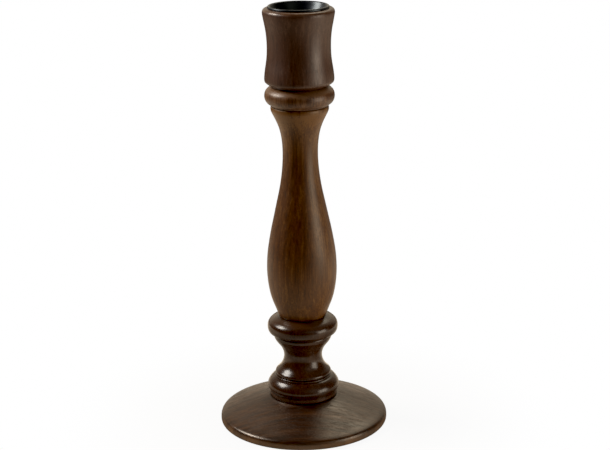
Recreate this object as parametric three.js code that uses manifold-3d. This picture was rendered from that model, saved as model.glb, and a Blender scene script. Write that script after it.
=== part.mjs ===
// Turned wooden candlestick, millimetres, +Z up, origin at the centre of the felt's underside.
// A base plate, pedestal, stem, collar ring and socket head are stacked on the Z axis, joined by
// a tenon, two fluted dowels and one screw. A black metal candle cup lifts out of the head.

import * as THREE from "three";
import Module from "manifold-3d";
import { mergeVertices } from "three/addons/utils/BufferGeometryUtils.js";

// ---------- driving dimensions ----------
// Facets round the axis
const BASE_SEGMENTS = 48;
const TURNED_SEGMENTS = 36;
const SMALL_SEGMENTS = 20; // washer and dowel ends
const SCREW_SEGMENTS = 16;

// Heights of the stack
const WOOD_BOTTOM_Z = 0.3;
const SEAT_Z = 16.1; // pedestal shoulder on the base plate
const STEM_JOINT_Z = 66.2; // pedestal to stem
const COLLAR_JOINT_Z = 193.4; // stem to collar ring
const HEAD_JOINT_Z = 204.9; // collar ring to socket head
const RIM_Z = 249.4; // top face of the wooden head

const BASE_RADIUS = 49.95;
const COLLAR_JOINT_RADIUS = 16.2; // shared by both faces of the collar ring

const FELT_RADIUS = 42.0;
const FELT_TOP_Z = 1.3;
const FELT_EDGE = 0.4; // chamfer round the underside
const FELT_RECESS_RADIUS = FELT_RADIUS + 0.3;

// Pedestal tenon and the mortise in the base plate
const TENON_RADIUS = 8.0;
const TENON_BOTTOM_Z = 10.3;
const TENON_CHAMFER = 0.7;
const MORTISE_RADIUS = TENON_RADIUS + 0.15;
const MORTISE_BOTTOM_Z = TENON_BOTTOM_Z - 0.3;

// Dowels and their holes
const DOWEL_RADIUS = 5.0;
const DOWEL_HOLE_RADIUS = DOWEL_RADIUS + 0.12;
const DOWEL_END_GAP = 0.5; // hole runs this far past each end
const FLUTE_COUNT = 12;
const FLUTE_DEPTH = 0.35;
const POINTS_PER_FLUTE = 4;
const STEM_DOWEL = { bottom: 51.0, top: 81.5 };
const HEAD_DOWEL = { bottom: 177.5, top: 214.0 };

// Screw
const SCREW_HEAD_BOTTOM_Z = 1.5;
const SCREW_HEAD_TOP_Z = 3.8;
const SCREW_HEAD_RADIUS = 4.6;
const SHANK_RADIUS = 2.3;
const SHANK_TOP_Z = 17.0;
const CORE_RADIUS = 1.75;
const CORE_BOTTOM_Z = SHANK_TOP_Z + 1.0;
const THREAD_RADIUS = 2.4;
const THREAD_PITCH = 2.5;
const THREAD_START_Z = 18.6;
const RIDGE_HEIGHT = 1.1;
const SCREW_TIP_Z = 46.5;
const POINT_START_Z = SCREW_TIP_Z - 5; // where the core begins to taper
const RECESS_LENGTH = 5.0;
const RECESS_WIDTH = 1.1;
const RECESS_DEPTH = 1.6;

// Screw holes and washer
const CLEARANCE_HOLE_RADIUS = 2.9; // in the base plate
const PILOT_RADIUS = 2.72; // in the pedestal
const PILOT_TOP_Z = 47.6;
const WASHER_RADIUS = 7.5;
const WASHER_BORE_RADIUS = CLEARANCE_HOLE_RADIUS - 0.2;
const WASHER_CHAMFER = 0.2;
const WASHER_THICKNESS = 1.2;
const COUNTERBORE_RADIUS = 8.2;
const COUNTERBORE_TOP_Z = SCREW_HEAD_TOP_Z + WASHER_THICKNESS;

// Candle cup and its socket
const CUP_BORE_RADIUS = 11.3; // takes a 22 mm dinner candle
const CUP_WALL = 1.0;
const CUP_OUTER_RADIUS = CUP_BORE_RADIUS + CUP_WALL;
const CUP_FLOOR_Z = 221.0; // the candle's foot stands here
const CUP_BOTTOM_Z = CUP_FLOOR_Z - CUP_WALL;
const FUNNEL_BOTTOM_Z = 240.9; // where the flared mouth meets the straight bore
const LIP_RADIUS = 17.5;
const LIP_TOP_Z = 250.75;
const SOCKET_RADIUS = CUP_OUTER_RADIUS + 0.35;
const SOCKET_FLOOR_Z = CUP_BOTTOM_Z - 0.5;

// ---------- turning ----------
// Every profile is a list of [radius, z] points.

// A solid from a profile spun about +Z.
function turned(profile, segments = TURNED_SEGMENTS) {
  const points = profile.map(([radius, z]) => new THREE.Vector2(radius, z));
  return new THREE.LatheGeometry(points, segments).rotateX(Math.PI / 2);
}

// A ring, whose profile is closed back to its first point.
function turnedRing(profile, segments = TURNED_SEGMENTS) {
  return turned([...profile, profile[0]], segments);
}

// ---------- solid operations ----------
const wasm = await Module();
wasm.setup();

// Keeps positions only, so that vertices weld across normal and uv seams.
function toSolid(geometry) {
  const bare = new THREE.BufferGeometry();
  bare.setAttribute("position", geometry.getAttribute("position"));
  bare.setIndex(geometry.getIndex());
  const welded = mergeVertices(bare, 1e-4);
  return new wasm.Manifold(
    new wasm.Mesh({
      numProp: 3,
      vertProperties: new Float32Array(welded.attributes.position.array),
      triVerts: new Uint32Array(welded.index.array),
    }),
  );
}

function toGeometry(solid) {
  const mesh = solid.getMesh();
  const geometry = new THREE.BufferGeometry();
  geometry.setAttribute("position", new THREE.Float32BufferAttribute(mesh.vertProperties, 3));
  geometry.setIndex(new THREE.Uint32BufferAttribute(mesh.triVerts, 1));
  geometry.computeVertexNormals();
  return geometry;
}

// ---------- turned wooden sections ----------
// A low cone with a rounded shoulder, a short upright edge and a bevelled foot.
function basePlate() {
  return turnedRing(
    [
      // screw counterbore and felt recess
      [CLEARANCE_HOLE_RADIUS, COUNTERBORE_TOP_Z],
      [COUNTERBORE_RADIUS, COUNTERBORE_TOP_Z],
      [COUNTERBORE_RADIUS, FELT_TOP_Z],
      [FELT_RECESS_RADIUS, FELT_TOP_Z],
      [FELT_RECESS_RADIUS, WOOD_BOTTOM_Z],
      // foot, edge and shoulder
      [49.0, WOOD_BOTTOM_Z], [49.75, 0.8], [BASE_RADIUS, 1.6], [BASE_RADIUS, 2.5],
      [49.8, 3.7], [49.3, 4.8], [48.5, 5.5], [46.4, 6.5],
      // cone up to the seat
      [42.0, 8.15], [35.0, 10.85], [28.0, 13.45], [22.4, 15.4], [20.9, 16.05],
      [20.1, SEAT_Z],
      // mortise
      [MORTISE_RADIUS, SEAT_Z],
      [MORTISE_RADIUS, MORTISE_BOTTOM_Z],
      [CLEARANCE_HOLE_RADIUS, MORTISE_BOTTOM_Z],
    ],
    BASE_SEGMENTS,
  );
}

// Foot band, beads, hollow neck, fillet and a large knop, with a tenon below.
function pedestal() {
  const dowelHoleFloorZ = STEM_DOWEL.bottom - DOWEL_END_GAP;
  return turned([
    // pilot hole
    [0, PILOT_TOP_Z],
    [PILOT_RADIUS * 0.5, PILOT_TOP_Z - 0.2],
    [PILOT_RADIUS, PILOT_TOP_Z - 1.6],
    [PILOT_RADIUS, TENON_BOTTOM_Z],
    // tenon
    [TENON_RADIUS - TENON_CHAMFER, TENON_BOTTOM_Z],
    [TENON_RADIUS, TENON_BOTTOM_Z + TENON_CHAMFER],
    [TENON_RADIUS, SEAT_Z],
    // foot band and bead
    [19.6, SEAT_Z], [20.0, 17.3], [20.1, 18.9], [20.4, 19.8], [20.95, 20.8],
    [21.3, 22.3], [21.1, 23.7], [20.5, 25.0], [19.4, 26.5], [18.2, 27.6],
    // small ledges
    [16.7, 28.25], [17.0, 28.85], [16.05, 29.45], [16.6, 30.4],
    // hollow neck
    [15.85, 31.9], [14.8, 32.9], [13.5, 34.4], [12.3, 36.6], [11.6, 38.6],
    [11.35, 41.0], [11.75, 43.6], [12.85, 46.3], [14.85, 49.1],
    // fillet
    [16.5, 51.4], [17.15, 53.4], [16.45, 54.9],
    // knop
    [19.1, 55.6], [20.2, 56.6], [20.75, 58.0], [20.9, 59.6], [20.7, 61.2],
    [19.9, 62.75], [18.2, 64.25], [15.7, 65.45], [13.8, STEM_JOINT_Z],
    // dowel hole
    [DOWEL_HOLE_RADIUS, STEM_JOINT_Z],
    [DOWEL_HOLE_RADIUS, dowelHoleFloorZ],
    [0, dowelHoleFloorZ],
  ]);
}

// A long vase, fullest low down, with a slender neck and a short band under the collar.
function stem() {
  const lowerHoleEndZ = STEM_DOWEL.top + DOWEL_END_GAP;
  const upperHoleEndZ = HEAD_DOWEL.bottom - DOWEL_END_GAP;
  return turned([
    // lower dowel hole
    [0, lowerHoleEndZ],
    [DOWEL_HOLE_RADIUS, lowerHoleEndZ],
    [DOWEL_HOLE_RADIUS, STEM_JOINT_Z],
    // belly
    [13.6, STEM_JOINT_Z], [14.75, 68.4], [16.1, 72.0], [17.66, 76.0], [18.81, 80.0],
    [19.6, 84.0], [20.2, 88.5], [20.55, 94.0], [20.45, 100.0], [19.95, 106.0],
    [19.06, 112.0], [17.58, 120.0], [15.85, 128.0], [14.12, 136.0], [12.4, 144.0],
    // neck
    [11.12, 152.0], [10.42, 159.5], [10.23, 165.0], [10.42, 170.8], [11.1, 176.2],
    [12.15, 180.5], [13.65, 184.4], [15.35, 187.9],
    // band
    [16.5, 190.3], [16.75, 191.5], [16.65, 192.9],
    [COLLAR_JOINT_RADIUS, COLLAR_JOINT_Z],
    // upper dowel hole
    [DOWEL_HOLE_RADIUS, COLLAR_JOINT_Z],
    [DOWEL_HOLE_RADIUS, upperHoleEndZ],
    [0, upperHoleEndZ],
  ]);
}

// One bold bead that slips over the upper dowel.
function collarRing() {
  return turnedRing([
    [DOWEL_HOLE_RADIUS, COLLAR_JOINT_Z],
    [COLLAR_JOINT_RADIUS, COLLAR_JOINT_Z],
    [16.65, 194.1], [18.0, 194.9], [19.35, 196.2], [20.05, 198.0],
    [20.15, 200.0], [19.6, 202.0], [18.3, 203.5],
    [COLLAR_JOINT_RADIUS, HEAD_JOINT_Z],
    [DOWEL_HOLE_RADIUS, HEAD_JOINT_Z],
  ]);
}

// A waisted drum, undercut below, with a flared socket for the metal cup.
function socketHead() {
  const dowelHoleEndZ = HEAD_DOWEL.top + DOWEL_END_GAP;
  return turned([
    // dowel hole
    [0, dowelHoleEndZ],
    [DOWEL_HOLE_RADIUS, dowelHoleEndZ],
    [DOWEL_HOLE_RADIUS, HEAD_JOINT_Z],
    // undercut
    [COLLAR_JOINT_RADIUS, HEAD_JOINT_Z], [17.2, 205.5], [19.2, 206.9],
    // waisted side
    [19.95, 208.1], [19.95, 210.2], [19.55, 214.0], [18.9, 218.0], [18.42, 222.0],
    [18.22, 227.0], [18.4, 232.5], [18.95, 237.5], [19.8, 242.0], [20.4, 245.2],
    // rounded rim
    [20.6, 246.9], [20.45, 248.0], [19.95, 248.8], [19.1, 249.3], [18.3, RIM_Z],
    // flared mouth
    [LIP_RADIUS - 0.5, RIM_Z], [LIP_RADIUS - 0.6, 248.9],
    [16.3, 247.6], [15.5, 245.5], [14.7, 243.2], [13.7, 241.7],
    // straight socket
    [SOCKET_RADIUS, FUNNEL_BOTTOM_Z - 0.3],
    [SOCKET_RADIUS, SOCKET_FLOOR_Z],
    [0, SOCKET_FLOOR_Z],
  ]);
}

// ---------- candle cup ----------
// Spun metal: rolled lip resting on the rim, a funnel that catches wax, and a straight bore
// with a closed floor.
function candleCup() {
  return turned([
    // outside of the floor and bore
    [0, CUP_BOTTOM_Z],
    [CUP_OUTER_RADIUS - 0.8, CUP_BOTTOM_Z],
    [CUP_OUTER_RADIUS, CUP_BOTTOM_Z + 0.8],
    [CUP_OUTER_RADIUS, FUNNEL_BOTTOM_Z],
    // outside of the funnel
    [12.7, 242.0], [14.0, 243.6], [14.5, 244.9], [15.4, 247.3], [15.9, 248.5], [16.3, 249.1],
    // rolled lip
    [LIP_RADIUS - 0.75, RIM_Z],
    [LIP_RADIUS - 0.2, RIM_Z],
    [LIP_RADIUS, RIM_Z + 0.4],
    [LIP_RADIUS - 0.1, LIP_TOP_Z - 0.25],
    [LIP_RADIUS - 0.6, LIP_TOP_Z],
    [LIP_RADIUS - 1.0, LIP_TOP_Z - 0.1],
    // inside of the funnel
    [16.2, 250.35], [15.8, 249.7], [15.4, 248.8], [14.7, 247.3], [13.85, 245.4],
    [13.1, 244.1], [11.8, 242.7],
    // inside of the bore and floor
    [CUP_BORE_RADIUS, FUNNEL_BOTTOM_Z + 0.4],
    [CUP_BORE_RADIUS, CUP_FLOOR_Z + 0.5],
    [CUP_BORE_RADIUS - 0.5, CUP_FLOOR_Z],
    [0, CUP_FLOOR_Z],
  ]);
}

// ---------- hardware ----------
// A fluted bar, trimmed by a turned envelope that chamfers both ends.
function dowel({ bottom, top }) {
  const outline = [];
  const pointCount = FLUTE_COUNT * POINTS_PER_FLUTE;
  for (let i = 0; i < pointCount; i++) {
    const angle = (i / pointCount) * Math.PI * 2;
    const radius = i % POINTS_PER_FLUTE === 0 ? DOWEL_RADIUS - FLUTE_DEPTH : DOWEL_RADIUS;
    outline.push(new THREE.Vector2(radius * Math.cos(angle), radius * Math.sin(angle)));
  }
  const bar = new THREE.ExtrudeGeometry(new THREE.Shape(outline), {
    depth: top - bottom,
    bevelEnabled: false,
    steps: 1,
  }).translate(0, 0, bottom);

  const endRadius = DOWEL_RADIUS - 0.8;
  const envelopeRadius = DOWEL_RADIUS + 0.3;
  const taper = 1.4;
  const envelope = turned(
    [
      [0, bottom],
      [endRadius, bottom],
      [envelopeRadius, bottom + taper],
      [envelopeRadius, top - taper],
      [endRadius, top],
      [0, top],
    ],
    SMALL_SEGMENTS,
  );
  return toGeometry(toSolid(bar).intersect(toSolid(envelope)));
}

// One arm of the cross recess; half of the box lies below the head's face.
function recessArm(sizeX, sizeY) {
  const box = new THREE.BoxGeometry(sizeX, sizeY, 2 * RECESS_DEPTH);
  return toSolid(box.translate(0, 0, SCREW_HEAD_BOTTOM_Z));
}

// Pan-head wood screw, head down, driven up through the base plate into the pedestal.
// Its thread is a row of separate ridges.
function baseScrew() {
  const profile = [
    [0, SCREW_HEAD_BOTTOM_Z],
    [SCREW_HEAD_RADIUS - 1.5, SCREW_HEAD_BOTTOM_Z],
    [SCREW_HEAD_RADIUS - 0.4, SCREW_HEAD_BOTTOM_Z + 0.7],
    [SCREW_HEAD_RADIUS, SCREW_HEAD_BOTTOM_Z + 1.5],
    [SCREW_HEAD_RADIUS, SCREW_HEAD_TOP_Z],
    [SHANK_RADIUS, SCREW_HEAD_TOP_Z],
    [SHANK_RADIUS, SHANK_TOP_Z],
    [CORE_RADIUS, CORE_BOTTOM_Z],
  ];
  for (let z = THREAD_START_Z; z + THREAD_PITCH < POINT_START_Z; z += THREAD_PITCH) {
    profile.push(
      [CORE_RADIUS, z],
      [THREAD_RADIUS, z + RIDGE_HEIGHT / 2],
      [CORE_RADIUS, z + RIDGE_HEIGHT],
    );
  }
  profile.push([CORE_RADIUS, POINT_START_Z], [0, SCREW_TIP_Z]);

  const body = toSolid(turned(profile, SCREW_SEGMENTS));
  const armAlongY = recessArm(RECESS_WIDTH, RECESS_LENGTH);
  const armAlongX = recessArm(RECESS_LENGTH, RECESS_WIDTH);
  return toGeometry(body.subtract(armAlongY.add(armAlongX)));
}

function baseWasher() {
  return turnedRing(
    [
      [WASHER_BORE_RADIUS, SCREW_HEAD_TOP_Z],
      [WASHER_RADIUS - WASHER_CHAMFER, SCREW_HEAD_TOP_Z],
      [WASHER_RADIUS, SCREW_HEAD_TOP_Z + WASHER_CHAMFER],
      [WASHER_RADIUS, COUNTERBORE_TOP_Z],
      [WASHER_BORE_RADIUS, COUNTERBORE_TOP_Z],
    ],
    SMALL_SEGMENTS,
  );
}

function feltPad() {
  return turned([
    [0, 0],
    [FELT_RADIUS - FELT_EDGE, 0],
    [FELT_RADIUS, FELT_EDGE],
    [FELT_RADIUS, FELT_TOP_Z],
    [0, FELT_TOP_Z],
  ]);
}

// ---------- materials ----------
const standard = (options) => new THREE.MeshStandardMaterial({ metalness: 0, ...options });
const stainedSatin = standard({ color: 0x3a2417, roughness: 0.42 });
const stainedCollar = standard({ color: 0x44291a, roughness: 0.4 });
const stainedDark = standard({ color: 0x21120b, roughness: 0.22 });
const stainedBase = standard({ color: 0x39281b, roughness: 0.4 });
const blackMetal = standard({ color: 0x0b0c0e, roughness: 0.28, metalness: 0.6 });
const beech = standard({ color: 0xc79f6b, roughness: 0.7 });
const steel = standard({ color: 0xb4b4b0, roughness: 0.35, metalness: 1.0 });
const felt = standard({ color: 0x1d1b19, roughness: 0.95 });

// ---------- assembly ----------
function namedGroup(name) {
  const group = new THREE.Group();
  group.name = name;
  return group;
}

function addPiece(group, name, geometry, material) {
  const mesh = new THREE.Mesh(geometry, material);
  mesh.name = name;
  group.add(mesh);
}

const candlestick = namedGroup("candlestick");
const fixed = namedGroup("fixed_stack");
const lifting = namedGroup("lift_out_cup");
candlestick.add(fixed, lifting);

addPiece(fixed, "felt_pad", feltPad(), felt);
addPiece(fixed, "base_plate", basePlate(), stainedBase);
addPiece(fixed, "base_washer", baseWasher(), steel);
addPiece(fixed, "base_screw", baseScrew(), steel);
addPiece(fixed, "pedestal", pedestal(), stainedDark);
addPiece(fixed, "stem_dowel", dowel(STEM_DOWEL), beech);
addPiece(fixed, "stem", stem(), stainedSatin);
addPiece(fixed, "head_dowel", dowel(HEAD_DOWEL), beech);
addPiece(fixed, "collar_ring", collarRing(), stainedCollar);
addPiece(fixed, "socket_head", socketHead(), stainedSatin);
addPiece(lifting, "candle_cup", candleCup(), blackMetal);

export default candlestick;
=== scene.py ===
# A turned wooden candlestick with an enamelled metal cup and a felt pad under its foot.
# It stands upright on the origin with its axis along +Z. The camera is on the -Y side, +X to its right.
import math

import bpy
import numpy as np
from mathutils import Matrix, Vector


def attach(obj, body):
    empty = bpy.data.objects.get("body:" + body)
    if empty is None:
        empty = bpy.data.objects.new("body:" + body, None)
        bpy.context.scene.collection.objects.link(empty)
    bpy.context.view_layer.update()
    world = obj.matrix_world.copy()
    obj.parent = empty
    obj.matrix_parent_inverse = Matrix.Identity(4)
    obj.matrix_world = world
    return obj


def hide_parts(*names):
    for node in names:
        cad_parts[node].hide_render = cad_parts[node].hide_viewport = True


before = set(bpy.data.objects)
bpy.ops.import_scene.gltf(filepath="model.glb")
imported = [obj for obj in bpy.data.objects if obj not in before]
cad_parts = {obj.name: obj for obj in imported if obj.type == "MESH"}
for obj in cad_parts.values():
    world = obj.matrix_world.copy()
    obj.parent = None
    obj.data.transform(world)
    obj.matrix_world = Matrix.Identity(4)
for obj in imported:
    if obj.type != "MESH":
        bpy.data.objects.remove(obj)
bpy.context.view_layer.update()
MM = 0.001

# ------------------------------------------------------------------ driving sizes, in millimetres
# heights where the pieces meet, from the bottom up
SEAT_Z = 16.1
STEM_Z = 66.2
COLLAR_Z = 193.4
HEAD_Z = 204.9
RIM_Z = 249.4
JOINT_R = 16.2  # both faces of the collar, and the ends that meet them

TENON_R, TENON_Z = 8.0, 10.3
TENON_CHAMFER = 0.7
MORTISE_R, MORTISE_Z = 8.15, 10.0
SCREW_HOLE_R, SCREW_PILOT_R = 2.9, 2.72
COUNTERBORE_R, COUNTERBORE_Z = 8.2, 5.0

DOWEL_HOLE_R = 5.12
DOWEL_GAP = 0.5  # left free at each end of a dowel
STEM_DOWEL = (51.0, 81.5)
HEAD_DOWEL = (177.5, 214.0)

FELT_R, FELT_TOP = 42.0, 1.3
RECESS_R = FELT_R + 0.3
FOOT_Z = 0.3  # underside of the wood

CUP_FLOOR, CUP_WALL = 221.0, 1.0
CUP_BORE_R = 11.3
CUP_NECK_Z = 240.9
CUP_R = CUP_BORE_R + CUP_WALL
CUP_BOTTOM = CUP_FLOOR - CUP_WALL
SOCKET_R = CUP_R + 0.35
SOCKET_FLOOR = CUP_BOTTOM - 0.5

# ------------------------------------------------------------------ outer profiles
# (radius, height) in millimetres, from the bottom up. Each inner list is one smooth run, and a
# corner is left where two runs meet.
BASE_OUT = [
    [
        (49.0, FOOT_Z), (49.55, 0.5), (49.85, 0.95), (49.95, 1.6), (49.95, 2.5), (49.88, 3.3),
        (49.68, 4.1), (49.3, 4.8), (48.7, 5.38), (47.8, 5.88), (46.4, 6.5), (42.0, 8.15),
        (35.0, 10.85), (28.0, 13.45), (23.5, 15.0), (22.0, 15.55), (21.0, 16.0), (20.4, 16.15),
        (20.0, SEAT_Z),
    ],
]
PEDESTAL_OUT = [
    [
        (19.6, SEAT_Z), (19.85, 16.5), (20.0, 17.3), (20.06, 18.2), (20.12, 19.0), (20.4, 19.8),
        (20.9, 20.7), (21.2, 21.5), (21.3, 22.5), (21.1, 23.7), (20.5, 25.0), (19.4, 26.5),
        (18.2, 27.6), (17.1, 28.15),
    ],
    [(16.7, 28.25), (16.95, 28.5), (17.0, 28.85), (16.85, 29.2), (16.5, 29.4)],
    [
        (16.05, 29.5), (16.4, 29.8), (16.6, 30.4), (16.45, 31.1), (15.85, 31.9), (14.8, 32.9),
        (13.5, 34.4), (12.45, 36.2), (11.6, 38.6), (11.35, 41.0), (11.75, 43.6), (12.85, 46.3),
        (13.85, 47.8), (14.85, 49.1), (15.85, 50.4), (16.5, 51.4), (16.95, 52.4), (17.15, 53.4),
        (17.1, 54.2), (16.75, 54.75),
    ],
    [
        (16.45, 54.9), (17.6, 55.1), (19.1, 55.6), (20.2, 56.6), (20.75, 58.0), (20.9, 59.6),
        (20.7, 61.2), (19.9, 62.75), (18.2, 64.25), (15.7, 65.45), (13.8, STEM_Z),
    ],
]
STEM_OUT = [
    [
        (13.6, STEM_Z), (14.1, 66.9), (14.75, 68.4), (16.1, 72.0), (17.66, 76.0), (18.81, 80.0),
        (19.6, 84.0), (20.2, 88.5), (20.55, 94.0), (20.45, 100.0), (19.95, 106.0), (19.06, 112.0),
        (17.58, 120.0), (15.85, 128.0), (14.12, 136.0), (12.4, 144.0), (11.12, 152.0),
        (10.42, 159.5), (10.23, 165.0), (10.42, 170.8), (11.1, 176.2), (12.15, 180.5),
        (13.65, 184.4), (15.35, 187.9), (16.5, 190.3), (16.75, 191.4), (16.75, 192.5),
        (16.55, 193.1), (JOINT_R, COLLAR_Z),
    ],
]
COLLAR_OUT = [
    [(JOINT_R, COLLAR_Z), (16.55, 193.75), (16.65, 194.2), (16.9, 194.45)],
    [
        (16.9, 194.45), (18.1, 194.9), (19.35, 196.2), (20.05, 198.0), (20.15, 199.9),
        (19.6, 201.9), (18.3, 203.45), (16.9, 204.4),
    ],
    [(JOINT_R, HEAD_Z)],
]
HEAD_OUT = [
    [(JOINT_R, HEAD_Z), (17.2, 205.5), (19.1, 206.85)],
    [
        (19.1, 206.85), (19.75, 207.5), (20.0, 208.5), (19.97, 210.2), (19.55, 214.0),
        (18.9, 218.0), (18.42, 222.0), (18.22, 227.0), (18.4, 232.5), (18.95, 237.5),
        (19.8, 242.0), (20.4, 245.2), (20.6, 246.6), (20.6, 247.4), (20.4, 248.15),
        (19.95, 248.78), (19.25, 249.2), (18.3, RIM_Z),
    ],
]


# ------------------------------------------------------------------ outlines
def lerp(start, end, t_start, t_end, t):
    width = t_end - t_start
    return (t_end - t) / width * start + (t - t_start) / width * end


def smooth(points, per):
    """Centripetal Catmull-Rom through the points, with at most per steps between two."""
    p = np.array(points, float)
    if len(p) < 3:
        return [tuple(point) for point in p]
    padded = np.vstack([2 * p[0] - p[1], p, 2 * p[-1] - p[-2]])
    out = []
    for i in range(1, len(padded) - 2):
        p0, p1, p2, p3 = padded[i - 1 : i + 3]
        t1 = np.linalg.norm(p1 - p0) ** 0.5
        t2 = t1 + np.linalg.norm(p2 - p1) ** 0.5
        t3 = t2 + np.linalg.norm(p3 - p2) ** 0.5
        steps = max(2, min(per, int(np.linalg.norm(p2 - p1) / 0.25) + 1))
        for k in range(steps):
            t = t1 + (t2 - t1) * k / steps
            middle = lerp(p1, p2, t1, t2, t)
            lower = lerp(lerp(p0, p1, 0, t1, t), middle, 0, t2, t)
            upper = lerp(middle, lerp(p2, p3, t2, t3, t), t1, t3, t)
            out.append(tuple(lerp(lower, upper, t1, t2, t)))
    out.append(tuple(p[-1]))
    return out


def eased(points, radius):
    """Rounds each corner that turns 24 degrees or more a little, as sandpaper does."""
    out = [points[0]]
    for i in range(1, len(points) - 1):
        before, corner, after = (np.array(point, float) for point in points[i - 1 : i + 2])
        back, ahead = before - corner, after - corner
        len_back, len_ahead = np.linalg.norm(back), np.linalg.norm(ahead)
        cosine = float(-(back @ ahead) / len_back / len_ahead)
        if math.degrees(math.acos(max(-1, min(1, cosine)))) < 24:
            out.append(tuple(corner))
            continue
        cut = min(radius, 0.45 * len_back, 0.45 * len_ahead)
        start = corner + back / len_back * cut
        end = corner + ahead / len_ahead * cut
        for t in (0.0, 0.25, 0.5, 0.75, 1.0):
            out.append(tuple((1 - t) ** 2 * start + 2 * t * (1 - t) * corner + t * t * end))
    out.append(points[-1])
    return out


def straight(*points):
    """Runs of one point each, so that straight lines join them."""
    return [[point] for point in points]


def outline(runs, ease, per=5):
    points = []
    for run in runs:
        for point in smooth(run, per):
            if not points or math.dist(points[-1], point) > 1e-4:
                points.append(point)
    return eased(points, ease)


def subdivided(points, step):
    """Splits the longer lines of an outline into steps of at least the given length."""
    out = []
    for a, b in zip(points[:-1], points[1:]):
        n = max(1, int(math.dist(a, b) / step))
        out += [(a[0] + (b[0] - a[0]) * k / n, a[1] + (b[1] - a[1]) * k / n) for k in range(n)]
    return out + [points[-1]]


# ------------------------------------------------------------------ mesh building
def make(name, verts, faces):
    mesh = bpy.data.meshes.new(name)
    mesh.from_pydata(verts, [], faces)
    mesh.validate()
    mesh.update()
    mesh.shade_smooth()
    mesh.set_sharp_from_angle(angle=math.radians(38))
    obj = bpy.data.objects.new(name, mesh)
    bpy.context.scene.collection.objects.link(obj)
    return obj


def lathe(name, points, closed=False, segments=288):
    """Spins a millimetre outline about +Z into a mesh in metres. An open outline starts and ends
    on the axis; closed joins the last point to the first."""
    verts, rings = [], []
    for r, z in points:
        if r < 1e-6:
            rings.append([len(verts)])
            verts.append((0.0, 0.0, z * MM))
            continue
        rings.append(range(len(verts), len(verts) + segments))
        for j in range(segments):
            a = 2 * math.pi * j / segments
            verts.append((r * MM * math.cos(a), r * MM * math.sin(a), z * MM))
    pairs = list(zip(rings[:-1], rings[1:]))
    if closed:
        pairs.append((rings[-1], rings[0]))
    faces = []
    for low, high in pairs:
        for j in range(segments):
            k = (j + 1) % segments
            if len(low) == 1:
                faces.append((low[0], high[k], high[j]))
            elif len(high) == 1:
                faces.append((low[j], low[k], high[0]))
            else:
                faces.append((low[j], low[k], high[k], high[j]))
    return make(name, verts, faces)


def place(obj, body, node, material):
    obj.data.materials.append(material)
    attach(obj, body)
    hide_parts(node)


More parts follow.
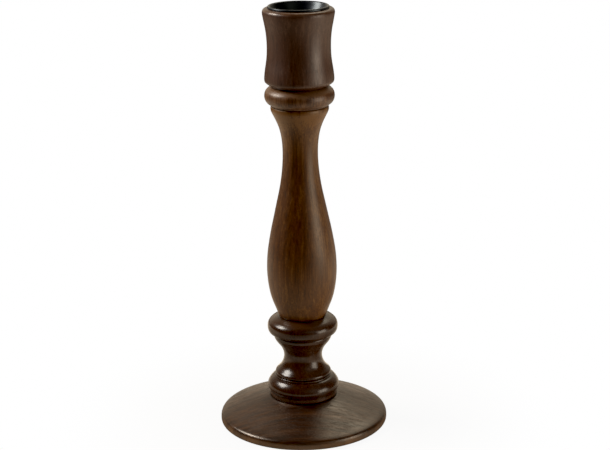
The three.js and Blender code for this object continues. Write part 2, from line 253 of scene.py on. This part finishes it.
# ------------------------------------------------------------------ node graphs
class Graph:
    """Short ways to add nodes to a tree. A value may be a number, a tuple or an output socket."""

    def __init__(self, tree):
        self.tree = tree
        tree.nodes.clear()

    def node(self, kind, **settings):
        node = self.tree.nodes.new(kind)
        for key, value in settings.items():
            setattr(node, key, value)
        return node

    def put(self, socket, value):
        if isinstance(value, bpy.types.NodeSocket):
            self.tree.links.new(value, socket)
        else:
            socket.default_value = value

    def math(self, op, *values, clamp=False):
        node = self.node("ShaderNodeMath", operation=op, use_clamp=clamp)
        for socket, value in zip(node.inputs, values):
            self.put(socket, value)
        return node.outputs[0]

    def times(self, a, b):
        return self.math("MULTIPLY", a, b)

    def minus(self, a, b):
        return self.math("SUBTRACT", a, b)

    def mul_add(self, value, gain, base, clamp=False):
        return self.math("MULTIPLY_ADD", value, gain, base, clamp=clamp)

    def exp(self, value):
        return self.math("POWER", math.e, value)

    def sway(self, value, gain, base):
        """Moves base up and down as value moves about its middle, 0.5."""
        return self.mul_add(self.minus(value, 0.5), gain, base)

    def weighted(self, *terms):
        """The sum of (value, weight) terms."""
        total = self.times(*terms[-1])
        for value, weight in reversed(terms[:-1]):
            total = self.mul_add(value, weight, total)
        return total

    def running_sum(self, total, value):
        return value if total is None else self.math("ADD", total, value)

    def split(self, vector):
        node = self.node("ShaderNodeSeparateXYZ")
        self.put(node.inputs[0], vector)
        return tuple(node.outputs)

    def coords(self):
        return self.split(self.node("ShaderNodeTexCoord").outputs["Object"])

    def vec(self, *values):
        node = self.node("ShaderNodeCombineXYZ")
        for socket, value in zip(node.inputs, values):
            self.put(socket, value)
        return node.outputs[0]

    def noise(self, vector, detail=2.0, rough=0.5, scale=1.0, warp=0.0):
        node = self.node("ShaderNodeTexNoise")
        self.put(node.inputs["Vector"], vector)
        node.inputs["Scale"].default_value = scale
        node.inputs["Detail"].default_value = detail
        node.inputs["Roughness"].default_value = rough
        node.inputs["Distortion"].default_value = warp
        return node.outputs["Fac"]

    def span(self, value, low, high, to_low=0.0, to_high=1.0):
        node = self.node("ShaderNodeMapRange", interpolation_type="SMOOTHSTEP")
        keys = ("Value", "From Min", "From Max", "To Min", "To Max")
        for key, entry in zip(keys, (value, low, high, to_low, to_high)):
            self.put(node.inputs[key], entry)
        return node.outputs["Result"]

    def ramp(self, value, stops):
        node = self.node("ShaderNodeValToRGB")
        node.color_ramp.interpolation = "EASE"
        elements = node.color_ramp.elements
        while len(elements) < len(stops):
            elements.new(0.5)
        for element, (position, colour) in zip(elements, stops):
            element.position, element.color = position, (*colour, 1.0)
        self.put(node.inputs[0], value)
        return node.outputs[0]

    def mix(self, amount, socket, colour):
        node = self.node("ShaderNodeMix", data_type="RGBA", clamp_factor=True)
        self.put(node.inputs[0], amount)
        self.put(node.inputs[6], socket)
        self.put(node.inputs[7], (*colour, 1.0))
        return node.outputs[2]

    def bump(self, height, strength, distance, normal=None):
        node = self.node("ShaderNodeBump")
        self.put(node.inputs["Strength"], strength)
        node.inputs["Distance"].default_value = distance
        self.put(node.inputs["Height"], height)
        if normal is not None:
            self.put(node.inputs["Normal"], normal)
        return node.outputs[0]

    def bands(self, z, windows):
        """1 at any of the given heights, fading to 0 over its half width, both in millimetres."""
        total = None
        for centre, half in windows:
            distance = self.math("ABSOLUTE", self.minus(z, centre * MM))
            band = self.span(distance, 0.0, half * MM, to_low=1.0, to_high=0.0)
            total = band if total is None else self.math("MAXIMUM", total, band)
        return total

    def light(self, kind, colour, strength):
        node = self.node(kind)
        node.inputs["Color"].default_value = (*colour, 1.0)
        self.put(node.inputs["Strength"], strength)
        return node.outputs[0]

    def mix_shader(self, amount, first, second):
        node = self.node("ShaderNodeMixShader")
        for socket, value in zip(node.inputs, (amount, first, second)):
            self.put(socket, value)
        return node.outputs[0]

    def camera_switch(self, others, camera):
        """One shader for camera rays and another for all other rays."""
        path = self.node("ShaderNodeLightPath")
        return self.mix_shader(path.outputs["Is Camera Ray"], others, camera)


class Surface(Graph):
    """A new material with a Principled shader."""

    def __init__(self, name):
        self.material = bpy.data.materials.new(name)
        self.material.use_nodes = True
        super().__init__(self.material.node_tree)
        self.out = self.node("ShaderNodeOutputMaterial")
        self.bsdf = self.node("ShaderNodeBsdfPrincipled")
        self.put(self.out.inputs["Surface"], self.bsdf.outputs[0])

    def set(self, name, value):
        self.put(self.bsdf.inputs[name], value)


# ------------------------------------------------------------------ wood
# cycles per metre across and along the grain, shift from the seed, detail, roughness
WOOD_NOISE = {
    "bend_u": (18, 5, 0.0, 2, 0.5),
    "bend_v": (22, 6, 4.3, 2, 0.5),
    "ring_wobble": (90, 6, 9.1, 2, 0.5),
    "broad": (150, 7, 2.2, 3, 0.55),
    "fine": (800, 17, 5.7, 4, 0.62),
    "hair": (2500, 60, 1.9, 3, 0.6),
    "blotch": (38, 16, 7.7, 2, 0.5),
    "grit": (1000, 800, 16.6, 2, 0.5),
    "fleck": (560, 120, 14.2, 2, 0.55),
    "thin_pore": (2600, 150, 3.3, 2, 0.5),
    "wide_pore": (1250, 85, 6.1, 2, 0.5),
    "smear": (70, 45, 8.8, 3, 0.55),
    "swell": (230, 60, 12.4, 2, 0.5),
}


def wood(
    name, seed, tones, rough,
    grain="Z", pith=(0.055, 0.03), ring_mm=3.4, warp=0.005, depth=1.0,  # cut and growth rings
    # drift: bands of painted light, where the tone is raised
    contrast=1.0, pores=1.0, fleck=0.0, painted_light_gain=(),  # colour; drift: (height, half width, gain)
    # grooves: painted shade in creases and joints; rubs: bands paled towards painted_light_tone as
    # painted light; polish: smoother bands
    painted_groove_shade=(), painted_light_bands=(), painted_light_tone=None, polish=(),  # (height, half width) bands
    coat=0.1, coat_rough=0.3, shine=0.7, tint=(1.0, 1.0, 1.0),  # lacquer
    bump=0.3, turned=0.15, waves=0.2,  # relief of the fibres, lathe lines and swells
):
    """Wood cut from a solid block, with the grain running along one axis, X or Z."""
    g = Surface(name)
    x, y, z = g.coords()
    u, v, w = (x, y, z) if grain == "Z" else (y, z, x)
    if depth != 1.0:
        v = g.times(v, depth)
    dark, mid, light = tones
    deep = tuple(c * 0.5 for c in dark)

    def texture(kind, u, v):
        across, along, shift, detail, roughness = WOOD_NOISE[kind]
        shift += seed
        vector = g.vec(
            g.mul_add(u, across, shift),
            g.mul_add(v, across, shift * 1.7),
            g.mul_add(w, along, shift * 0.6),
        )
        return g.noise(vector, detail=detail, rough=roughness)

    bend_u, bend_v = texture("bend_u", u, v), texture("bend_v", u, v)
    bent = g.sway(bend_u, warp, u), g.sway(bend_v, warp, v)

    # growth rings about a pith that lies outside the piece
    du, dv = g.minus(bent[0], pith[0]), g.minus(bent[1], pith[1])
    distance = g.math("SQRT", g.math("ADD", g.times(du, du), g.times(dv, dv)))
    wobble = texture("ring_wobble", *bent)
    phase = g.mul_add(distance, 2 * math.pi / (ring_mm * MM), g.times(wobble, 5.0))
    late = g.math("POWER", g.mul_add(g.math("SINE", phase), 0.5, 0.5), 2.2)

    # fibres in three widths, then blotches, grit and flecks; each gain is a share of the tone
    broad, fine, hair = (texture(kind, *bent) for kind in ("broad", "fine", "hair"))
    blotch = texture("blotch", u, v)
    tone = g.sway(broad, gain=0.75 * contrast, base=0.5)
    tone = g.sway(fine, gain=1.25 * contrast, base=tone)
    tone = g.sway(hair, gain=0.95 * contrast, base=tone)
    tone = g.mul_add(g.minus(0.35, late), gain=0.12 * contrast, base=tone)
    tone = g.sway(blotch, gain=0.8 * contrast, base=tone)
    tone = g.sway(texture("grit", u, v), gain=0.5, base=tone)
    # painted light: the tone is raised in each given band of height, where the surface is lit more
    for centre, half, gain in painted_light_gain:
        tone = g.mul_add(g.bands(z, [(centre, half)]), gain, tone)
    if fleck:
        flecks = texture("fleck", *bent)
        tone = g.sway(flecks, gain=0.9 * fleck, base=tone)
    colour = g.ramp(tone, [(0.08, dark), (0.5, mid), (0.92, light)])

    # open pores: short dark dashes that the stain has filled
    thin_pore = g.span(texture("thin_pore", *bent), low=0.60, high=0.70)
    wide_pore = g.span(texture("wide_pore", *bent), low=0.62, high=0.72)
    holes = g.math("MAXIMUM", thin_pore, wide_pore)
    colour = g.mix(g.times(holes, 0.5 * pores), colour, deep)

    # painted shade darkens the given creases and joints towards the deep tone, and painted light pales
    # the given bands, in patches
    if painted_groove_shade:
        colour = g.mix(g.times(g.bands(z, painted_groove_shade), 0.6), colour, deep)
    if painted_light_bands:
        painted_light_mask = (g.bands(z, painted_light_bands), g.span(broad, low=0.35, high=0.65, to_low=0.25, to_high=0.9))
        colour = g.mix(g.times(*painted_light_mask), colour, painted_light_tone)
    g.set("Base Color", colour)

    vary = g.times(g.minus(texture("smear", u, v), 0.5), 0.14)
    vary = g.sway(fine, gain=0.14, base=vary)
    if fleck:
        vary = g.sway(flecks, gain=-0.5 * fleck, base=vary)
    # polished bands are smoother and more even
    if polish:
        uneven = g.mul_add(g.bands(z, polish), gain=-0.96, base=1.0)
        level_rough = g.mul_add(g.bands(z, polish), gain=-0.13, base=rough)
        roughness = g.mul_add(vary, uneven, level_rough)
    else:
        roughness = g.math("ADD", vary, rough)
    g.set("Roughness", g.mul_add(holes, 0.12 * pores, roughness, clamp=True))
    g.set("IOR", 1.5)
    g.set("Specular IOR Level", shine)
    g.set("Specular Tint", (*tint, 1.0))
    g.set("Coat Weight", coat)
    g.set("Coat Roughness", coat_rough)
    g.set("Coat IOR", 1.5)

    def level(strength):
        return g.times(uneven, strength) if polish else strength

    height = g.weighted((fine, 0.5), (hair, 0.35))
    height = g.mul_add(holes, gain=-0.7 * pores, base=height)
    normal = g.bump(height, level(bump), distance=0.00008)
    normal = g.bump(texture("swell", u, v), level(waves), distance=0.0001, normal=normal)
    if fleck:
        normal = g.bump(flecks, level(0.4 * fleck), distance=0.00012, normal=normal)
    # fine rings left by the lathe and the sandpaper
    ring_vector = g.vec(seed, g.times(blotch, 2.0), g.times(z, 1500.0))
    lines = g.noise(ring_vector, detail=3, rough=0.6)
    g.set("Normal", g.bump(lines, level(turned), distance=0.00005, normal=normal))
    return g.material


base_wood = wood(
    "stained_base", seed=3.1, rough=0.42,
    tones=((0.017, 0.0042, 0.0011), (0.0385, 0.0106, 0.0026), (0.08, 0.031, 0.0105)),
    grain="X", pith=(0.02, -0.05), ring_mm=4.4, warp=0.0012, depth=0.3, contrast=1.4, fleck=0.9,
    # painted shade round the seat of the pedestal, and painted light on the side band of the foot
    painted_groove_shade=[(16.25, 0.4)], painted_light_bands=[(2.3, 2.9)], painted_light_tone=(0.19, 0.09, 0.036), polish=[(5.2, 3.0)],
    coat=0.05, shine=0.95, tint=(1.0, 0.95, 0.88), bump=0.45,
)
pedestal_wood = wood(
    "stained_pedestal", seed=11.4, rough=0.36,
    tones=((0.026, 0.0074, 0.0024), (0.052, 0.0188, 0.0082), (0.088, 0.04, 0.021)),
    # painted light on the top of the knop and on the foot band; painted shade in the creases and at the
    # joint with the stem
    contrast=0.8, pores=0.25, painted_light_gain=[(65.4, 3.6, 0.7), (17.8, 1.5, 0.4)],
    painted_groove_shade=[(16.2, 0.6), (19.5, 0.3), (28.2, 0.25), (29.45, 0.3), (54.87, 0.35), (STEM_Z, 1.0)],
    polish=[(42.0, 75.0)], coat=0.3, coat_rough=0.2, shine=0.55, tint=(0.86, 0.94, 1.0),
    bump=0.02, turned=0.015, waves=0.02,
)
stem_wood = wood(
    "stained_stem", seed=5.9, rough=0.42,
    tones=((0.052, 0.0122, 0.0018), (0.11, 0.0335, 0.0045), (0.2, 0.084, 0.018)),
    pith=(0.035, -0.05), ring_mm=3.8, contrast=1.15,
    # painted light: paler bands on the lower swell, the neck and under the collar; painted shade at
    # both joints
    painted_light_gain=[(176, 24, 0.16), (189, 10, 0.45), (72, 14, 0.06)],
    painted_groove_shade=[(STEM_Z, 1.0), (COLLAR_Z, 0.6)],
    coat=0.05, shine=0.85, tint=(1.0, 0.95, 0.84), waves=0.12,
)
collar_wood = wood(
    "stained_collar", seed=17.2, rough=0.4,
    tones=((0.064, 0.02, 0.005), (0.132, 0.052, 0.018), (0.22, 0.11, 0.05)),
    # painted light on the top of the collar; painted shade at both joints
    contrast=1.6, painted_light_gain=[(203.2, 2.8, 0.75)], painted_groove_shade=[(193.5, 0.6), (HEAD_Z, 1.0)],
    coat=0.08, shine=0.85,
)
head_wood = wood(
    "stained_head", seed=23.6, rough=0.42,
    tones=((0.04, 0.0135, 0.0066), (0.089, 0.037, 0.022), (0.155, 0.08, 0.052)),
    # painted shade at the joint with the collar; painted light on the rim edge
    pith=(-0.04, -0.055), ring_mm=3.2, contrast=0.8, fleck=0.2, painted_groove_shade=[(HEAD_Z, 1.0)],
    painted_light_bands=[(248.7, 1.2)], painted_light_tone=(0.17, 0.077, 0.033), polish=[(248.7, 1.0)],
    coat=0.05, shine=0.9, waves=0.1,
)
beech = wood(
    "bare_beech", seed=31.0, rough=0.62,
    tones=((0.30, 0.18, 0.085), (0.52, 0.35, 0.19), (0.66, 0.48, 0.29)),
    ring_mm=1.8, contrast=0.8, pores=0.5, coat=0.0, shine=0.3,
)


# ------------------------------------------------------------------ metal and felt
def enamel():
    g = Surface("cup_enamel")
    x, y, z = g.coords()
    mottle = g.noise(g.vec(x, y, z), detail=3, rough=0.55, scale=320)
    cloud = g.noise(g.vec(x, y, z), scale=60)
    blues = [
        (0.25, (0.0125, 0.0138, 0.0195)),
        (0.55, (0.0195, 0.0215, 0.031)),
        (0.85, (0.032, 0.0355, 0.05)),
    ]
    g.set("Base Color", g.ramp(g.weighted((mottle, 0.4), (cloud, 0.6)), blues))
    # faint spinning lines round the wall, and orange peel in the enamel
    lines = g.noise(g.vec(0.0, 0.0, g.times(z, 1900.0)), rough=0.6)
    scuff_vector = g.vec(g.times(x, 240.0), g.times(y, 240.0), g.times(z, 900.0))
    scuff = g.noise(scuff_vector, detail=3, rough=0.65)
    roughness = g.sway(cloud, gain=0.12, base=0.3)
    scuffed = g.mul_add(g.span(scuff, low=0.62, high=0.74), gain=0.16, base=roughness, clamp=True)
    g.set("Roughness", scuffed)
    g.set("IOR", 1.52)
    g.set("Specular IOR Level", 0.7)
    g.set("Specular Tint", (0.7, 0.87, 1.0, 1.0))
    g.set("Coat Weight", 0.1)
    g.set("Coat Roughness", 0.25)
    height = g.mul_add(lines, gain=0.35, base=mottle)
    g.set("Normal", g.bump(height, strength=0.12, distance=0.00006))
    return g.material


def steel():
    g = Surface("zinc_steel")
    x, y, z = g.coords()
    spangle = g.noise(g.vec(x, y, z), detail=3, rough=0.6, scale=900)
    cloud = g.noise(g.vec(x, y, z), scale=260)
    greys = [(0.3, (0.42, 0.42, 0.40)), (0.55, (0.60, 0.60, 0.58)), (0.8, (0.72, 0.72, 0.71))]
    g.set("Base Color", g.ramp(g.weighted((spangle, 0.5), (cloud, 0.5)), greys))
    g.set("Metallic", 1.0)
    g.set("Roughness", g.mul_add(spangle, gain=0.22, base=0.22))
    g.set("Normal", g.bump(spangle, strength=0.25, distance=0.00003))
    return g.material


def wool_felt():
    g = Surface("wool_felt")
    x, y, z = g.coords()
    fibre = g.noise(g.vec(x, y, z), detail=5, rough=0.7, scale=1500, warp=1.6)
    tuft = g.noise(g.vec(x, y, z), detail=4, rough=0.6, scale=420, warp=0.8)
    cloud = g.noise(g.vec(x, y, z), scale=70)
    blacks = [
        (0.32, (0.006, 0.0055, 0.005)),
        (0.5, (0.019, 0.017, 0.015)),
        (0.68, (0.05, 0.045, 0.04)),
    ]
    g.set("Base Color", g.ramp(g.weighted((fibre, 0.5), (tuft, 0.3), (cloud, 0.2)), blacks))
    g.set("Roughness", 0.94)
    g.set("Sheen Weight", 0.5)
    g.set("Sheen Roughness", 0.5)
    g.set("Sheen Tint", (0.5, 0.47, 0.43, 1.0))
    height = g.mul_add(fibre, gain=0.6, base=tuft)
    g.set("Normal", g.bump(height, strength=0.8, distance=0.0004))
    return g.material


# ------------------------------------------------------------------ the wooden pieces
# the foot, closed round its screw hole, with a felt recess below and a mortise above
base = outline(
    straight(
        (SCREW_HOLE_R, COUNTERBORE_Z), (COUNTERBORE_R, COUNTERBORE_Z), (COUNTERBORE_R, FELT_TOP),
        (RECESS_R, FELT_TOP), (RECESS_R, FOOT_Z), (48.5, FOOT_Z),
    )
    + BASE_OUT
    + straight((MORTISE_R, SEAT_Z), (MORTISE_R, MORTISE_Z), (SCREW_HOLE_R, MORTISE_Z)),
    ease=0.2,
    per=8,
)
base_obj = lathe("base_plate_wood", base, closed=True, segments=320)
place(base_obj, "stand", "base_plate", base_wood)

# a tenon with a screw hole up its middle, and a dowel hole from the top
STEM_HOLE_FLOOR = STEM_DOWEL[0] - DOWEL_GAP
pedestal = outline(
    [[(0.0, 47.6), (1.36, 47.4), (SCREW_PILOT_R, 46.0)]]
    + straight(
        (SCREW_PILOT_R, TENON_Z), (TENON_R - TENON_CHAMFER, TENON_Z),
        (TENON_R, TENON_Z + TENON_CHAMFER), (TENON_R, SEAT_Z), (19.4, SEAT_Z),
    )
    + PEDESTAL_OUT
    + straight((DOWEL_HOLE_R, STEM_Z), (DOWEL_HOLE_R, STEM_HOLE_FLOOR), (0.0, STEM_HOLE_FLOOR)),
    ease=0.12,
)
place(lathe("pedestal_wood", pedestal), "stand", "pedestal", pedestal_wood)

# a dowel hole at each end
STEM_HOLE_TOP = STEM_DOWEL[1] + DOWEL_GAP
HEAD_HOLE_FLOOR = HEAD_DOWEL[0] - DOWEL_GAP
stem = outline(
    straight((0.0, STEM_HOLE_TOP), (DOWEL_HOLE_R, STEM_HOLE_TOP), (DOWEL_HOLE_R, STEM_Z))
    + STEM_OUT
    + straight((DOWEL_HOLE_R, COLLAR_Z), (DOWEL_HOLE_R, HEAD_HOLE_FLOOR), (0.0, HEAD_HOLE_FLOOR)),
    ease=0.15,
)
place(lathe("stem_wood", stem), "stand", "stem", stem_wood)

# the outline comes back to its first point, so the repeat is dropped
collar = outline(
    straight((DOWEL_HOLE_R, COLLAR_Z))
    + COLLAR_OUT
    + straight((DOWEL_HOLE_R, HEAD_Z), (DOWEL_HOLE_R, COLLAR_Z)),
    ease=0.12,
    per=8,
)[:-1]
collar_obj = lathe("collar_ring_wood", collar, closed=True)
place(collar_obj, "stand", "collar_ring", collar_wood)

# a dowel hole below, and a flared socket for the cup above
HEAD_HOLE_TOP = HEAD_DOWEL[1] + DOWEL_GAP
SOCKET_FLARE = [
    (16.9, 248.9), (16.3, 247.6), (15.8, 246.2), (15.3, 244.8), (14.7, 243.2), (13.7, 241.7),
    (SOCKET_R, 240.6),
]
head = outline(
    straight((0.0, HEAD_HOLE_TOP), (DOWEL_HOLE_R, HEAD_HOLE_TOP), (DOWEL_HOLE_R, HEAD_Z))
    + HEAD_OUT
    + straight((17.0, RIM_Z))
    + [SOCKET_FLARE]
    + straight((SOCKET_R, SOCKET_FLOOR), (0.0, SOCKET_FLOOR)),
    ease=0.15,
)
place(lathe("socket_head_wood", head), "stand", "socket_head", head_wood)

# ------------------------------------------------------------------ the candle cup
# up the outside from the middle of the bottom, over the rolled lip and down the bore
CUP = [
    [(0.0, CUP_BOTTOM)],
    [(11.5, CUP_BOTTOM), (12.05, 220.2), (CUP_R, 220.8)],
    [
        (CUP_R, CUP_NECK_Z), (12.6, 241.9), (13.4, 242.7), (14.0, 243.6), (14.5, 244.8),
        (15.0, 246.2), (15.45, 247.4), (15.9, 248.5), (16.3, 249.1), (16.75, RIM_Z),
    ],
    [
        (17.3, RIM_Z), (17.5, 249.65), (17.52, 250.1), (17.42, 250.48), (17.2, 250.68),
        (16.9, 250.75), (16.55, 250.66), (16.2, 250.35), (15.85, 249.75), (15.45, 248.9),
        (14.95, 247.8), (14.4, 246.6), (13.85, 245.4), (13.2, 244.3), (12.5, 243.4),
        (11.8, 242.7), (11.4, 241.9), (CUP_BORE_R, CUP_NECK_Z),
    ],
    [(CUP_BORE_R, 221.6), (11.15, 221.15), (10.7, CUP_FLOOR)],
    [(0.0, CUP_FLOOR)],
]
cup_obj = lathe("candle_cup_metal", outline(CUP, ease=0.12, per=8))
place(cup_obj, "cup", "candle_cup", enamel())

# ------------------------------------------------------------------ felt underneath
felt = outline(
    straight((0.0, 0.0), (20.0, 0.0))
    + [[(FELT_R - 0.5, 0.0), (FELT_R - 0.15, 0.12), (FELT_R, 0.45)]]
    + straight((FELT_R, FELT_TOP), (0.0, FELT_TOP)),
    ease=0.1,
)
pad = lathe("felt_disc", subdivided(felt, step=0.9), segments=240)
# uneven underside and edge, in metres
UNDERSIDE_RISE, EDGE_SHRINK = 0.00009, 0.004
rng = np.random.default_rng(7)
for vert, chance in zip(pad.data.vertices, rng.random(len(pad.data.vertices))):
    radius = math.hypot(vert.co.x, vert.co.y)
    if vert.co.z < 0.0006 and radius > 1e-5:
        vert.co.z += UNDERSIDE_RISE * chance
    if radius > 0.0417 and 0.0001 < vert.co.z < 0.0012:
        shrink = 1 - EDGE_SHRINK * chance
        vert.co.x *= shrink
        vert.co.y *= shrink
pad.data.update()
place(pad, "stand", "felt_pad", wool_felt())

# ------------------------------------------------------------------ hardware that stays as designed
zinc = steel()
HARDWARE = {"base_screw": zinc, "base_washer": zinc, "stem_dowel": beech, "head_dowel": beech}
for node, material in HARDWARE.items():
    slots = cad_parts[node].data.materials
    slots.clear()
    slots.append(material)

# ------------------------------------------------------------------ stage
WHITE = (1.0, 1.0, 1.0)
TABLE_TINT = (1.0, 0.83, 0.62)
ROOM_TINT = (1.0, 0.88, 0.68)
# soft patches of light on the table, as the candlestick sees them: x, y, radius in metres, strength
TABLE_LIGHT = [
    (0.0, 0.2, 0.09, 2.4), (-0.297, 0.297, 0.2, 1.21), (0.42, 0.0, 0.2, 0.98),
    (0.297, 0.297, 0.2, 0.96), (-0.2, 0.0, 0.09, 0.63), (0.141, -0.141, 0.09, 0.59),
    (0.297, -0.297, 0.2, 0.55), (0.0, -0.09, 0.045, 0.36), (0.064, 0.064, 0.045, 0.38),
    (-0.141, -0.141, 0.09, 0.3), (-0.42, 0.0, 0.2, 0.3), (-0.064, 0.064, 0.045, 0.28),
    (0.0, -0.2, 0.09, 0.27), (-0.064, -0.064, 0.045, 0.23), (0.064, -0.064, 0.045, 0.22),
    (0.2, 0.0, 0.09, 0.16), (0.0, -0.42, 0.2, 0.15), (-0.297, -0.297, 0.2, 0.12),
    (-0.09, 0.0, 0.045, 0.09), (1.1, 0.8, 0.5, 0.95), (-1.1, 0.8, 0.5, 0.3),
    (-0.9, 0.1, 0.35, 0.5), (0.9, 0.1, 0.35, 0.3), (0.0, -0.06, 0.022, 0.3),
    (-0.045, -0.042, 0.022, 0.25), (0.045, -0.042, 0.022, 0.2),
]
# soft patches of light round the room: azimuth, elevation in degrees, tightness, strength
ROOM_LIGHT = [
    (180, 8, 16, 0.62), (-150, 8, 16, 0.49), (162, 50, 45, 4.0), (180, 58, 11, 0.2),
    (36, 32, 14, 0.3), (120, 58, 11, 0.15), (180, 32, 14, 0.25), (150, 8, 16, 0.25),
    (144, 32, 14, 0.19), (0, 32, 14, 0.06),
]


def toward(azimuth, elevation):
    """The direction at an azimuth from -Y, the camera's side, positive towards +X."""
    a, e = math.radians(azimuth), math.radians(elevation)
    return Vector((math.sin(a) * math.cos(e), -math.cos(a) * math.cos(e), math.sin(e)))


def floor_material():
    """A plain pale floor. The candlestick sees it lit in soft patches."""
    g = Surface("pale_floor")
    g.set("Roughness", 0.9)
    g.set("Specular IOR Level", 0.1)
    g.set("Base Color", (0.9, 0.9, 0.9, 1.0))
    position = g.node("ShaderNodeNewGeometry").outputs["Position"]
    x, y, _ = g.split(position)
    total = None
    for patch_x, patch_y, radius, strength in TABLE_LIGHT:
        dx = g.times(g.minus(x, patch_x), 1 / radius)
        dy = g.times(g.minus(y, patch_y), 1 / radius)
        square = g.mul_add(dx, dx, g.times(dy, dy))
        total = g.running_sum(total, g.times(g.exp(g.times(square, -1.0)), strength))
    patches = g.light("ShaderNodeEmission", TABLE_TINT, total)
    plain = g.light("ShaderNodeEmission", WHITE, 1.0)
    # the camera sees white, but for a little shading near the foot
    length = g.node("ShaderNodeVectorMath", operation="LENGTH")
    g.put(length.inputs[0], position)
    far = g.span(length.outputs["Value"], low=0.05, high=0.16, to_low=0.93, to_high=1.0)
    view = g.mix_shader(far, g.bsdf.outputs[0], plain)
    g.put(g.out.inputs["Surface"], g.camera_switch(patches, view))
    return g.material


FLOOR_SIDES = 96
FLOOR_RINGS = (0.3, 1.0, 3.0, 12.0)
floor_verts = [(0.0, 0.0, 0.0)]
for radius in FLOOR_RINGS:
    for k in range(FLOOR_SIDES):
        a = 2 * math.pi * k / FLOOR_SIDES
        floor_verts.append((radius * math.cos(a), radius * math.sin(a), 0.0))
floor_faces = [(0, 1 + k, 1 + (k + 1) % FLOOR_SIDES) for k in range(FLOOR_SIDES)]
for ring in range(len(FLOOR_RINGS) - 1):
    a = 1 + ring * FLOOR_SIDES
    b = a + FLOOR_SIDES
    for k in range(FLOOR_SIDES):
        after = (k + 1) % FLOOR_SIDES
        floor_faces.append((a + k, b + k, b + after, a + after))
floor = make("studio_floor", floor_verts, floor_faces)
floor.location.z = -0.00005  # just under the felt
floor.data.materials.append(floor_material())


def build_world():
    """White to the camera, soft patches of light to everything else."""
    world = bpy.data.worlds.new("studio")
    bpy.context.scene.world = world
    world.use_nodes = True
    g = Graph(world.node_tree)
    out = g.node("ShaderNodeOutputWorld")
    coord = g.node("ShaderNodeTexCoord")
    glow = None
    for azimuth, elevation, tight, strength in ROOM_LIGHT:
        dot = g.node("ShaderNodeVectorMath", operation="DOT_PRODUCT")
        g.put(dot.inputs[0], coord.outputs["Generated"])
        dot.inputs[1].default_value = toward(azimuth, elevation)
        lobe = g.exp(g.times(g.minus(dot.outputs["Value"], 1.0), tight))
        glow = g.running_sum(glow, g.times(lobe, strength))
    room = g.light("ShaderNodeBackground", ROOM_TINT, glow)
    white = g.light("ShaderNodeBackground", WHITE, 1.0)
    g.put(out.inputs["Surface"], g.camera_switch(room, white))


build_world()

LIGHT_TARGET = Vector((0, 0, 0.12))


def softbox(name, azimuth, elevation, distance, width, height, power, colour):
    way = toward(azimuth, elevation)
    data = bpy.data.lights.new(name, "AREA")
    data.shape = "RECTANGLE"
    data.size, data.size_y = width, height
    data.energy = power
    data.color = colour
    lamp = bpy.data.objects.new(name, data)
    lamp.location = LIGHT_TARGET + way * distance
    lamp.rotation_mode = "QUATERNION"
    lamp.rotation_quaternion = (-way).to_track_quat("-Z", "Y")
    lamp.visible_camera = False
    bpy.context.scene.collection.objects.link(lamp)


softbox(
    "key_left", azimuth=-97, elevation=38.5, distance=0.9,
    width=0.4, height=0.34, power=5.6, colour=(1.0, 0.9, 0.8),
)
softbox(
    "soft_right", azimuth=65, elevation=5, distance=0.8,
    width=0.42, height=0.42, power=1.95, colour=(1.0, 0.85, 0.68),
)

# ------------------------------------------------------------------ camera
CAMERA_PLACE = (0.0, -0.9043, 0.398)
pitch, yaw, roll = math.radians(17.0), math.radians(0.137), math.radians(-0.75)  # pitch is down

data = bpy.data.cameras.new("camera")
data.sensor_fit = "HORIZONTAL"
data.sensor_width = 36.0
data.lens = 95.3114754
data.clip_start, data.clip_end = 0.05, 60.0
camera = bpy.data.objects.new("camera", data)
scene = bpy.context.scene
scene.collection.objects.link(camera)
forward = Vector(
    (math.sin(yaw) * math.cos(pitch), math.cos(yaw) * math.cos(pitch), -math.sin(pitch))
)
level_right = Vector((math.cos(yaw), -math.sin(yaw), 0.0))
level_up = level_right.cross(forward)
right = math.cos(roll) * level_right + math.sin(roll) * level_up
up = -math.sin(roll) * level_right + math.cos(roll) * level_up
turn = Matrix((right, up, -forward)).transposed().to_4x4()
camera.matrix_world = Matrix.Translation(CAMERA_PLACE) @ turn
scene.camera = camera

view = scene.view_settings
view.view_transform = "Standard"
view.look = "None"
view.exposure = 0.0
view.gamma = 1.0
view.use_curve_mapping = True
view.curve_mapping.black_level = (0.007, 0.007, 0.007)
view.curve_mapping.update()
